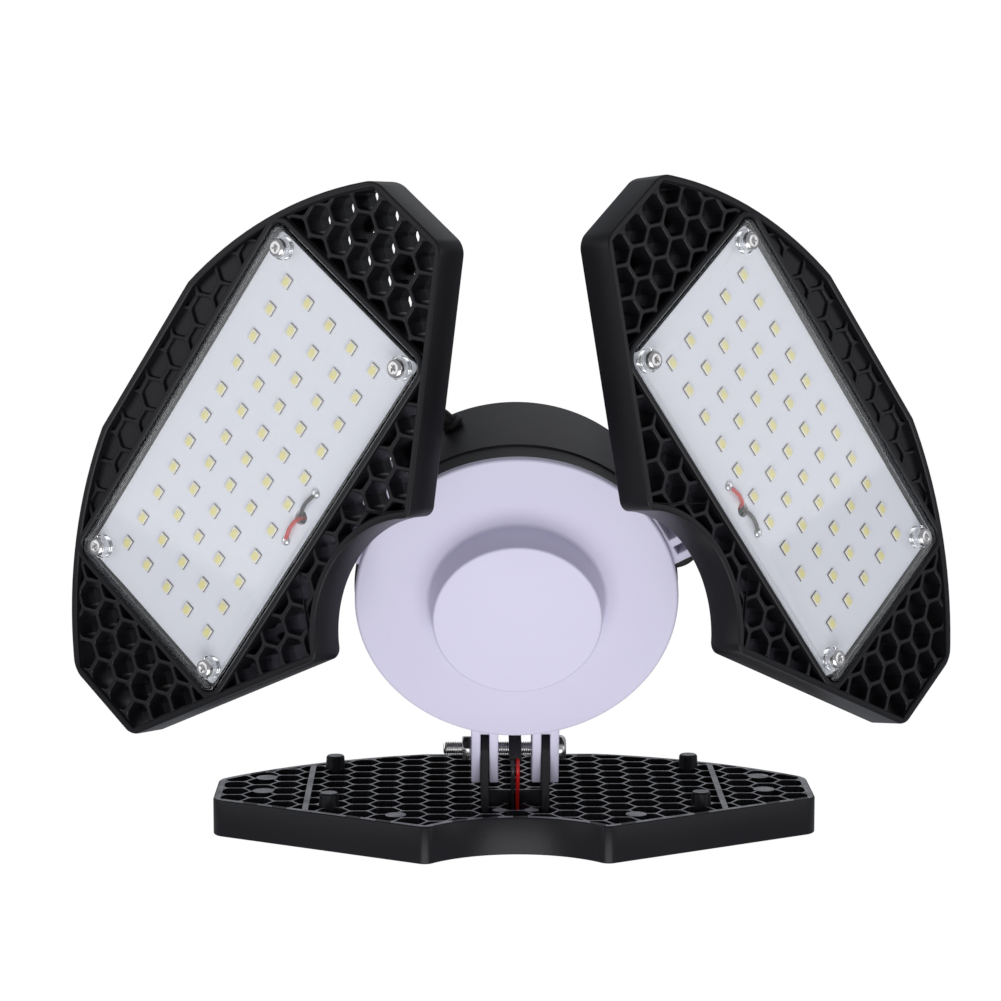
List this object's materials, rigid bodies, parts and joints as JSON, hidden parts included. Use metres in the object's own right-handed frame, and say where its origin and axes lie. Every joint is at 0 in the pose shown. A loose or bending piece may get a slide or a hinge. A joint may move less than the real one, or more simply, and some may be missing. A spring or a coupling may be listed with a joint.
{
  "type": "deformable garage light",
  "caption": "Screw-in ceiling lamp: a round driver housing carries honeycomb LED panels on friction hinges, which fold up or down to aim the light.",
  "frame": {"origin": "centre of the screw base, in the plane where its metal shell meets the collar", "axes": "+Z along the lamp axis, towards the lampholder; +Y towards the rear panel; the lamp hangs below and shines towards -Z"},
  "size_m": [0.2688, 0.2413, 0.1303],
  "materials": {
    "white_cast": "satin",
    "black_cast": "satin",
    "black_plastic": "satin",
    "black_rubber": "matte",
    "black_cable": "satin",
    "black_lead": "satin",
    "red_lead": "satin",
    "clear_cover": "gloss",
    "led_board": "satin",
    "led_body": "satin",
    "solder": "gloss",
    "steel_fastener": "polished",
    "nickel_shell": "polished",
    "base_glass": "gloss",
    "brass_contact": "satin",
    "circuit_board": "satin",
    "driver_part": "satin"
  },
  "bodies": {
    "hub": {"screw_base_shell": "nickel_shell", "screw_base_insulator": "base_glass", "screw_base_contact": "brass_contact", "lamp_neck": "black_plastic", "neck_screws": "steel_fastener", "driver_housing": "black_plastic", "cable_grommets": "black_rubber", "hinge_ring": "white_cast", "ring_screws": "steel_fastener", "front_cap": "white_cast", "driver_board": "circuit_board", "driver_transformer": "driver_part", "driver_capacitors": "driver_part", "driver_inductor": "driver_part", "driver_chips": "driver_part", "mains_leads": "black_lead", "rear_hinge_bolt": "steel_fastener", "rear_hinge_nut": "steel_fastener", "rear_cable": "black_cable", "left_hinge_bolt": "steel_fastener", "left_hinge_nut": "steel_fastener", "left_cable": "black_cable", "right_hinge_bolt": "steel_fastener", "right_hinge_nut": "steel_fastener", "right_cable": "black_cable"},
    "rear_panel": {"rear_heat_sink": "black_cast", "rear_led_board": "led_board", "rear_led_chips": "led_body", "rear_clear_cover": "clear_cover", "rear_cover_screws": "steel_fastener", "rear_solder_joints": "solder", "rear_red_wire": "red_lead", "rear_black_wire": "black_lead"},
    "left_panel": {"left_heat_sink": "black_cast", "left_led_board": "led_board", "left_led_chips": "led_body", "left_clear_cover": "clear_cover", "left_cover_screws": "steel_fastener", "left_solder_joints": "solder", "left_red_wire": "red_lead", "left_black_wire": "black_lead"},
    "right_panel": {"right_heat_sink": "black_cast", "right_led_board": "led_board", "right_led_chips": "led_body", "right_clear_cover": "clear_cover", "right_cover_screws": "steel_fastener", "right_solder_joints": "solder", "right_red_wire": "red_lead", "right_black_wire": "black_lead"}
  },
  "joints": [
    {"name": "rear_panel_hinge", "type": "hinge", "parent": "hub", "child": "rear_panel", "pos_m": [0, 0.0585, -0.0607], "axis": [1, 0, 0], "range_deg": [-68, 22], "deforming": ["rear_red_wire", "rear_black_wire"]},
    {"name": "left_panel_hinge", "type": "hinge", "parent": "hub", "child": "left_panel", "pos_m": [-0.05066, -0.02925, -0.0607], "axis": [-0.5, 0.866, 0], "range_deg": [-43.5, 46.5], "deforming": ["left_red_wire", "left_black_wire"]},
    {"name": "right_panel_hinge", "type": "hinge", "parent": "hub", "child": "right_panel", "pos_m": [0.05066, -0.02925, -0.0607], "axis": [-0.5, -0.866, 0], "range_deg": [-50.5, 39.5], "deforming": ["right_red_wire", "right_black_wire"]}
  ]
}
